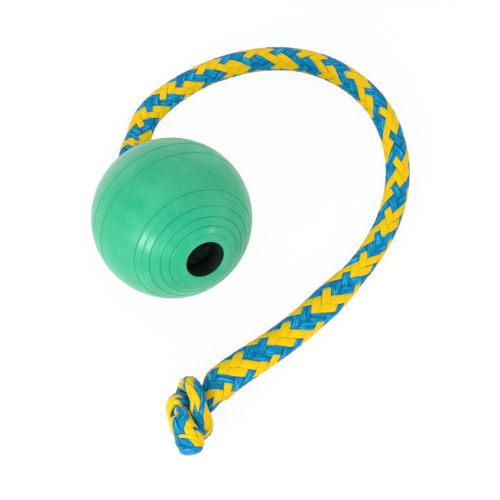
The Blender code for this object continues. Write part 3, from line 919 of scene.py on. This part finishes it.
class Sleeve:
    """Outer surface of a stretch of rope: rows along it, each with evenly spaced points round it.

    A turn of 0 is the side that faces the camera, and a quarter turn is the left-hand side.
    """

    def __init__(self, centre, along, face, distance):
        self.centre = centre
        self.along = along
        self.face = face
        self.left = np.cross(face, along)
        self.distance = distance

    def directions(self):
        """Directions from the line at evenly spaced angles round it."""
        angles = np.arange(ROUND_COUNT) * 2 * pi / ROUND_COUNT
        return (np.cos(angles)[None, :, None] * self.face[:, None]
                + np.sin(angles)[None, :, None] * self.left[:, None])

    def set_surface(self, reach):
        """Take the reach in each direction, and space the surface's points evenly round it."""
        points = self.centre[:, None] + reach[:, :, None] * self.directions()
        closed = np.concatenate([points, points[:, :1]], axis=1)
        steps = np.linalg.norm(np.diff(closed, axis=1), axis=2)
        reached = np.concatenate([np.zeros((len(steps), 1)), np.cumsum(steps, axis=1)], axis=1)
        wanted = np.arange(ROUND_COUNT) / ROUND_COUNT
        self.points = np.empty_like(points)
        for k, (row, at) in enumerate(zip(closed, reached / reached[:, -1:])):
            for axis in range(3):
                self.points[k, :, axis] = np.interp(wanted, at, row[:, axis])
        across = np.roll(self.points, -1, axis=1) - np.roll(self.points, 1, axis=1)
        self.normals = np.cross(self.along[:, None], across)
        self.normals /= np.linalg.norm(self.normals, axis=2)[:, :, None]

    def at(self, rows, turns, depth):
        """Points of the surface at rows and turns round it, sunk by a depth."""
        place = (turns % 1.0) * ROUND_COUNT
        low = np.floor(place).astype(int)
        share = (place - low)[:, None]
        low %= ROUND_COUNT
        high = (low + 1) % ROUND_COUNT
        points = self.points[rows, low] * (1 - share) + self.points[rows, high] * share
        normals = self.normals[rows, low] * (1 - share) + self.normals[rows, high] * share
        return points - normals * depth[:, None]

    def part(self, first, last):
        """The rows from first to last of this surface."""
        piece = Sleeve(self.centre[first:last], self.along[first:last], self.face[first:last],
                       self.distance[first:last])
        piece.points = self.points[first:last]
        piece.normals = self.normals[first:last]
        return piece


def smoothed(centre):
    """A line of points with its small kinks smoothed, and its direction at each point."""
    for _ in range(SMOOTH_PASS_COUNT):
        centre[1:-1] = (centre[:-2] + 2 * centre[1:-1] + centre[2:]) / 4
    along = np.gradient(centre, axis=0)
    return centre, along / np.linalg.norm(along, axis=1)[:, None]


def least_of(*reaches):
    """Smooth least of several positive values."""
    return sum(reach**-LEAST_OF_POWER for reach in reaches) ** (-1 / LEAST_OF_POWER)


def flat_reach(sleeve, outwards, thick, wide, power):
    """Reach of a rope that is squeezed flat across an outward direction."""
    outwards = square_to(sleeve.along, outwards)
    sideways = np.cross(sleeve.along, outwards)
    directions = sleeve.directions()
    out_share = (directions * outwards[:, None]).sum(axis=2) / thick[:, None]
    side_share = (directions * sideways[:, None]).sum(axis=2) / wide[:, None]
    return (np.abs(out_share)**power + np.abs(side_share)**power) ** (-1 / power)


def values_at(distance, table):
    """Each column of a table at distances along the rope, smooth between the stated ones."""
    fine = smooth_through(table)
    return [np.interp(distance, fine[:, 0], column) for column in fine[:, 1:].T]


def reach_to_other_turns(sleeve):
    """How far each direction goes before it is nearer to another turn of the same knot."""
    rows = np.arange(len(sleeve.centre))
    near = ceil(NEIGHBOUR_SHARE * KNOT_THICKNESS / ROW_SPACING)
    directions = sleeve.directions()
    least = np.full(directions.shape[:2], FREE_REACH)
    for k in rows:
        to_other = sleeve.centre[np.abs(rows - k) > near] - sleeve.centre[k]
        square = (to_other**2).sum(axis=1) - TURN_GAP**2
        across = directions[k] @ to_other.T + TURN_GAP
        reach = square / (2 * np.maximum(across, LEAST_ACROSS))
        least[k] = np.minimum(least[k], reach.min(axis=1))
    return least


def reach_in_bend(sleeve):
    """How far each direction goes towards the middle of the bend there."""
    bend = np.gradient(sleeve.along, axis=0) / step_lengths(sleeve.centre).mean()
    inwards = (sleeve.directions() * bend[:, None]).sum(axis=2)
    return BEND_SHARE / np.maximum(inwards, BEND_SHARE)


def reach_to_ground(sleeve):
    """How far each direction goes before it meets the ground."""
    falling = -sleeve.directions()[:, :, 2]
    height = np.maximum(sleeve.centre[:, 2] - GROUND_GAP, LEAST_HEIGHT)
    reach = height[:, None] / np.maximum(falling, LEAST_SLOPE)
    return np.where(falling > LEAST_SLOPE, reach, FREE_REACH)


def reach_to_cavity(sleeve):
    """How far each direction goes before it meets the wall of the ball's cavity."""
    offset = sleeve.centre - np.array(BALL_CENTRE)
    across = (sleeve.directions() * offset[:, None]).sum(axis=2)
    square = (CAVITY_RADIUS - CAVITY_GAP)**2 - (offset**2).sum(axis=1)
    return np.sqrt(across**2 + np.maximum(square, 0)[:, None]) - across


def settled(wave):
    """Flatten the tops of a wave, as a tape lies flat where it passes over two others."""
    return np.tanh(FLAT_TOP_STEEPNESS * wave) / np.tanh(FLAT_TOP_STEEPNESS)


def laid_grid(bm, rows, around_count):
    """Grid to wrap round a stretch of rope: its verts, and the row and the turn of each."""
    grid = bmesh.ops.create_grid(bm, x_segments=rows - 1, y_segments=around_count, size=0.5,
                                 matrix=Matrix.Translation((0.5, 0.5, 0)), calc_uvs=True)
    flat = np.array([vert.co for vert in grid["verts"]])
    return grid["verts"], np.rint(flat[:, 0] * (rows - 1)).astype(int), flat[:, 1]


def add_tape(bm, sleeve, looks, index, hand):
    """One tape: a grid wound round the tape's own section, laid along the braid.

    Hand 0 tapes turn one way round the rope and hand 1 tapes the other way.
    """
    rows = len(sleeve.centre)
    first_face = len(bm.faces)
    verts, row, share = laid_grid(bm, rows, TAPE_AROUND_COUNT)
    cosine = np.cos(2 * pi * share)
    sine = np.sin(2 * pi * share)
    places = values_at(sleeve.distance, BRAID_PLACES)

    half_width = looks.tape_width_share / 2
    half_thick = looks.tape_thickness / 2
    wander = sleeve.distance[row] * TAPE_SWAY_PER_METRE + index * TAPE_SWAY_PER_TAPE + hand
    across = np.sign(cosine) * np.abs(cosine)**TAPE_SIDEWAYS_POWER * half_width
    thick = np.sign(sine) * np.abs(sine)**TAPE_THROUGH_POWER * half_thick
    middle = index + 0.5 - places[hand][row]
    turn = middle + across + TAPE_SWAY_SHARE * np.sin(wander)
    other = turn + places[1 - hand][row]
    lift = settled(np.cos(2 * pi * (other + index - FIRST_ON_TOP[hand]) / COLOUR_REPEAT))
    crown = looks.tape_crown * (1 - (across / half_width)**2) * (sine > CROWN_FROM_SINE)
    rise = looks.tape_lift * lift + thick + crown
    top = looks.tape_lift + half_thick + looks.tape_crown
    places_now = sleeve.at(row, turn / TAPE_COUNT, top - rise)
    dip = bm.verts.layers.float[DIP_SHADE]
    for vert, place, low in zip(verts, places_now, (1 - lift) / 2):
        vert.co = place
        vert[dip] = low

    is_blue = index % COLOUR_REPEAT >= YELLOW_SIDE_BY_SIDE
    bm.faces.ensure_lookup_table()
    uv = bm.loops.layers.uv.active
    length = rows * ROW_SPACING
    for face in bm.faces[first_face:]:
        face.material_index = int(is_blue)
        for loop in face.loops:
            loop[uv].uv.x = (loop[uv].uv.x * length + index * FIBRES_PER_TAPE
                             + hand * FIBRES_PER_HAND)


def add_core(bm, sleeve, looks):
    """Dark tube of painted shade just under the tapes of the hollow braid."""
    first_face = len(bm.faces)
    verts, row, turn = laid_grid(bm, len(sleeve.centre), CORE_AROUND_COUNT)
    depth = 2 * looks.tape_lift + looks.tape_thickness + looks.tape_crown
    for vert, place in zip(verts, sleeve.at(row, turn, np.full(len(row), depth))):
        vert.co = place
    bm.faces.ensure_lookup_table()
    for face in bm.faces[first_face:]:
        face.material_index = 2


def close_ends(bm):
    """Fill the open ends of what a bmesh holds, and point its faces outwards."""
    bmesh.ops.holes_fill(bm, edges=[edge for edge in bm.edges if edge.is_boundary], sides=0)
    bmesh.ops.recalc_face_normals(bm, faces=bm.faces)


def braided(sleeve, looks):
    """The whole braid of a stretch of rope."""
    bm = bmesh.new()
    bm.loops.layers.uv.verify()
    bm.verts.layers.float.new(DIP_SHADE)
    add_core(bm, sleeve, looks)
    for hand in (0, 1):
        for index in range(TAPE_COUNT):
            add_tape(bm, sleeve, looks, index, hand)
    bmesh.ops.remove_doubles(bm, verts=bm.verts, dist=BRAID_MERGE)
    close_ends(bm)
    return bm


def outer_sleeve():
    """Surface of the rope from the hole in the ball to the outer tip, and where its parts start."""
    line = outer_line()
    centre = spaced(line, ROW_SPACING)
    distance = np.arange(len(centre)) * ROW_SPACING
    neck_rows = round((BALL_RADIUS + JOIN_GAP / 2 + HOLE_INSIDE_HEIGHT) / ROW_SPACING)
    distance -= distance[neck_rows]
    knot_row = neck_rows + round(ROPE_LENGTH / ROW_SPACING)
    reached = distance[knot_row:] - distance[knot_row]
    for shift, axis in zip(values_at(reached, END_KNOT_SHIFTS), camera_axes()):
        centre[knot_row:] += shift[:, None] * MM * np.array(axis)
    centre, along = smoothed(centre)
    face = facing_camera(centre, along)
    face[knot_row:] = carried(along[knot_row:], face[knot_row])
    sleeve = Sleeve(centre, along, face, distance)

    share = np.clip(distance / ROPE_LENGTH, 0, 1)
    looser = smooth_step(share, ROPE_LOOSE_FROM_SHARE, ROPE_LOOSE_FULL_SHARE)
    radius = ROPE_RADIUS + (ROPE_LOOSE_RADIUS - ROPE_RADIUS) * looser
    upwards = np.tile((0.0, 0.0, 1.0), (len(centre), 1))
    wide = radius * values_at(distance, ROPE_WIDE_SHARES)[0]
    reach = flat_reach(sleeve, upwards, radius, wide, ROPE_SECTION_POWER)

    knot = Sleeve(centre[knot_row:], along[knot_row:], face[knot_row:], distance[knot_row:])
    middle = knot.centre.mean(axis=0)
    thick, wide = values_at(reached, END_KNOT_SHARES)
    free = flat_reach(knot, knot.centre - middle, thick * ROPE_LOOSE_RADIUS,
                      wide * ROPE_LOOSE_RADIUS, KNOT_SECTION_POWER)
    reach[knot_row:] = least_of(free, reach_to_other_turns(knot), reach_in_bend(knot),
                                reach_to_ground(knot))
    sleeve.set_surface(reach)
    return sleeve, neck_rows, knot_row


def inner_sleeve(distance_at_hole):
    """Surface of the rope inside the ball, from the inner tip to the hole."""
    centre, along = smoothed(spaced(inner_line(), ROW_SPACING))
    face = facing_camera(centre[-1:], along[-1:])[0]
    faces = carried(along[::-1], face)[::-1]
    distance = distance_at_hole + (np.arange(len(centre)) - len(centre)) * ROW_SPACING
    knot = Sleeve(centre, along, faces, distance)
    from_hole = np.arange(len(centre))[::-1] * ROW_SPACING
    narrowed = smooth_step(from_hole, 0.0, INNER_KNOT_NARROWING)
    thick = ROPE_RADIUS + (INNER_KNOT_THICK - ROPE_RADIUS) * narrowed
    wide = ROPE_RADIUS + (INNER_KNOT_WIDE - ROPE_RADIUS) * narrowed
    free = flat_reach(knot, centre - centre.mean(axis=0), thick, wide, KNOT_SECTION_POWER)
    knot.set_surface(least_of(free, reach_to_other_turns(knot), reach_in_bend(knot),
                              reach_to_cavity(knot)))
    return knot


def fused_tip(name, sleeve_end, heading, looks, body, node):
    """Melted end of a rope: a low dome with lumps, grown from the rope's own last section."""
    bm = bmesh.new()
    ring = [bm.verts.new(point) for point in sleeve_end]
    edges = [bm.edges.new((a, b)) for a, b in zip(ring, ring[1:] + ring[:1])]
    middle = Vector(np.mean(sleeve_end, axis=0))
    turns = [pi / 2 * k / TIP_RING_COUNT for k in range(TIP_RING_COUNT + 1)]
    widths = [TIP_TOP_SHARE + (1 - TIP_TOP_SHARE) * cos(turn) for turn in turns]
    widths[-1] = TIP_LAST_SHARE
    for k in range(TIP_RING_COUNT):
        grown = bmesh.ops.extrude_edge_only(bm, edges=edges)["geom"]
        edges = [item for item in grown if isinstance(item, bmesh.types.BMEdge)
                 and len(item.link_faces) == 1]
        rise = SEAL_LENGTH * (sin(turns[k + 1]) - sin(turns[k]))
        centre = middle + heading * SEAL_LENGTH * sin(turns[k])
        for vert in {vert for edge in edges for vert in edge.verts}:
            narrowed = (vert.co - centre) * (widths[k + 1] / widths[k])
            vert.co = centre + narrowed + heading * rise
    close_ends(bm)
    material = bpy.data.materials.get("fused rope end") or fused_material(looks)
    return finished_piece(name, bm, [material], body, [node])


class TOY_OT_rope(Operator):
    """Braid the rope outside the ball: its neck, the free rope, the end knot and the fused tip"""
    bl_idname = "toy.rope"
    bl_label = "Rope and end knot"

    def execute(self, context):
        looks = context.scene.toy_rope
        sleeve, neck_rows, knot_row = outer_sleeve()
        materials = rope_materials(looks)
        neck = sleeve.part(0, neck_rows + 1)
        finished_piece("braid_neck", braided(neck, looks), materials, "rope",
                       ["rope_neck"])
        free = sleeve.part(neck_rows, knot_row + 1)
        rope = finished_piece("braid_rope", braided(free, looks), materials, "rope",
                              ["rope"])
        tied = sleeve.part(knot_row, len(sleeve.centre))
        knot = finished_piece("braid_end_knot", braided(tied, looks), materials, "rope",
                              ["end_knot"])
        last = sleeve.points[-1] - sleeve.normals[-1] * looks.tape_lift
        tip = fused_tip("fused_outer_tip", last, Vector(sleeve.along[-1]), looks, "rope",
                        "end_knot_seal")
        return {"FINISHED"}


class TOY_OT_retaining_knot(Operator):
    """Braid the knot inside the ball, with its fused tip"""
    bl_idname = "toy.retaining_knot"
    bl_label = "Retaining knot"

    def execute(self, context):
        looks = context.scene.toy_rope
        sleeve = inner_sleeve(-WALL_THICKNESS)
        finished_piece("braid_retaining_knot", braided(sleeve, looks), rope_materials(looks),
                       "inner_knot", ["retaining_knot"])
        first = sleeve.points[0] - sleeve.normals[0] * looks.tape_lift
        fused_tip("fused_inner_tip", first, -Vector(sleeve.along[0]), looks, "inner_knot",
                  "retaining_knot_seal")
        return {"FINISHED"}


def add_lamp(name, watts, size, distance, shares):
    """Square soft lamp that points at the toy."""
    right, up, back = camera_axes()
    place = LAMP_AIM + (shares[0] * right + shares[1] * up + shares[2] * back) * distance
    lamp = bpy.data.lights.new(name, "AREA")
    lamp.energy = watts
    lamp.size = size
    thing = bpy.data.objects.new(name, lamp)
    thing.location = place
    thing.rotation_euler = (LAMP_AIM - place).to_track_quat("-Z", "Y").to_euler()
    bpy.context.scene.collection.objects.link(thing)


def camera_axes():
    """The camera's right, up and back directions."""
    turn = radians(CAMERA_TURN_DEG)
    rise = radians(CAMERA_ELEVATION_DEG)
    right = Vector((cos(turn), sin(turn), 0))
    back = Vector((sin(turn) * cos(rise), -cos(turn) * cos(rise), sin(rise)))
    return right, back.cross(right), back


def floor_material(looks):
    """Pale floor that reads white to the camera and keeps the toy's shadow."""
    material, tree, shader = new_material("pale floor")
    feed_all(tree, shader, Base_Color=looks.floor, Roughness=0.9, Specular_IOR_Level=0.1)
    glow = add_node(tree, "ShaderNodeEmission", Color=(1, 1, 1), Strength=1.0)
    path = tree.nodes.new("ShaderNodeLightPath")
    mirrored = worked_out(tree, "MULTIPLY", path.outputs["Is Glossy Ray"], MIRRORED_FLOOR_SHARE)
    seen = worked_out(tree, "MAXIMUM", path.outputs["Is Camera Ray"], mirrored)
    share = worked_out(tree, "MULTIPLY", seen, FLOOR_GLOW_SHARE)
    mix = tree.nodes.new("ShaderNodeMixShader")
    for socket, source in zip(mix.inputs, (share, shader.outputs[0], glow.outputs[0])):
        tree.links.new(source, socket)
    tree.links.new(mix.outputs[0], tree.nodes["Material Output"].inputs["Surface"])
    return material


class TOY_OT_stage(Operator):
    """Set up the floor, the soft lamps, the world and the camera"""
    bl_idname = "toy.stage"
    bl_label = "Stage"

    def execute(self, context):
        looks = context.scene.toy_stage
        bm = bmesh.new()
        bmesh.ops.create_grid(bm, x_segments=1, y_segments=1, size=FLOOR_SIZE)
        mesh = bpy.data.meshes.new("floor")
        bm.to_mesh(mesh)
        bm.free()
        mesh.materials.append(floor_material(looks))
        floor = bpy.data.objects.new("floor", mesh)
        context.scene.collection.objects.link(floor)

        add_lamp("left lamp", looks.key_watts, LEFT_LAMP_SIZE, SIDE_LAMP_DISTANCE,
                 LEFT_LAMP_SHARES)
        add_lamp("right lamp", looks.side_watts, RIGHT_LAMP_SIZE, SIDE_LAMP_DISTANCE,
                 RIGHT_LAMP_SHARES)
        add_lamp("top lamp", looks.top_watts, TOP_LAMP_SIZE, TOP_LAMP_DISTANCE, TOP_LAMP_SHARES)

        world = bpy.data.worlds.new("white surroundings")
        world.use_nodes = True
        tree = world.node_tree
        seen = tree.nodes.new("ShaderNodeLightPath").outputs["Is Camera Ray"]
        feed_all(tree, tree.nodes["Background"], Color=(1, 1, 1),
                 Strength=worked_out(tree, "MAXIMUM", seen, looks.world_strength))
        context.scene.world = world
        context.scene.view_settings.view_transform = "Standard"

        camera_data = bpy.data.cameras.new("camera")
        camera_data.sensor_width = PHOTO_SENSOR_MM
        camera_data.lens = PHOTO_LENS_MM
        camera = bpy.data.objects.new("camera", camera_data)
        turn = Matrix(camera_axes()).transposed().to_4x4()
        camera.matrix_world = Matrix.Translation(CAMERA_PLACE) @ turn
        context.scene.collection.objects.link(camera)
        context.scene.camera = camera
        return {"FINISHED"}


class TOY_PT_panel(Panel):
    """Lists the toy's pieces and their settings"""
    bl_label = "Ball Toy"
    bl_idname = "TOY_PT_panel"
    bl_space_type = "VIEW_3D"
    bl_region_type = "UI"
    bl_category = "Ball Toy"

    def draw(self, context):
        for operator in OPERATORS:
            self.layout.operator(operator.bl_idname)
        for name in SETTINGS:
            settings = getattr(context.scene, name)
            box = self.layout.box()
            for key in settings.bl_rna.properties.keys():
                if key not in ("name", "rna_type"):
                    box.prop(settings, key)


OPERATORS = (TOY_OT_stage, TOY_OT_ball, TOY_OT_retaining_knot, TOY_OT_rope)
SETTINGS = {"toy_ball": BallLooks, "toy_rope": RopeLooks, "toy_stage": StageLooks}


def register():
    """Make the settings, the operators and the panel known to Blender."""
    for name, kind in SETTINGS.items():
        bpy.utils.register_class(kind)
        setattr(bpy.types.Scene, name, PointerProperty(type=kind))
    for kind in (*OPERATORS, TOY_PT_panel):
        bpy.utils.register_class(kind)


def unregister():
    """Take the panel, the operators and the settings away again."""
    for kind in (TOY_PT_panel, *reversed(OPERATORS)):
        bpy.utils.unregister_class(kind)
    for name, kind in reversed(SETTINGS.items()):
        delattr(bpy.types.Scene, name)
        bpy.utils.unregister_class(kind)


def main():
    """Build the stage and every piece."""
    register()
    bpy.ops.toy.stage()
    bpy.ops.toy.ball()
    bpy.ops.toy.retaining_knot()
    bpy.ops.toy.rope()


if __name__ == "__main__":
    main()
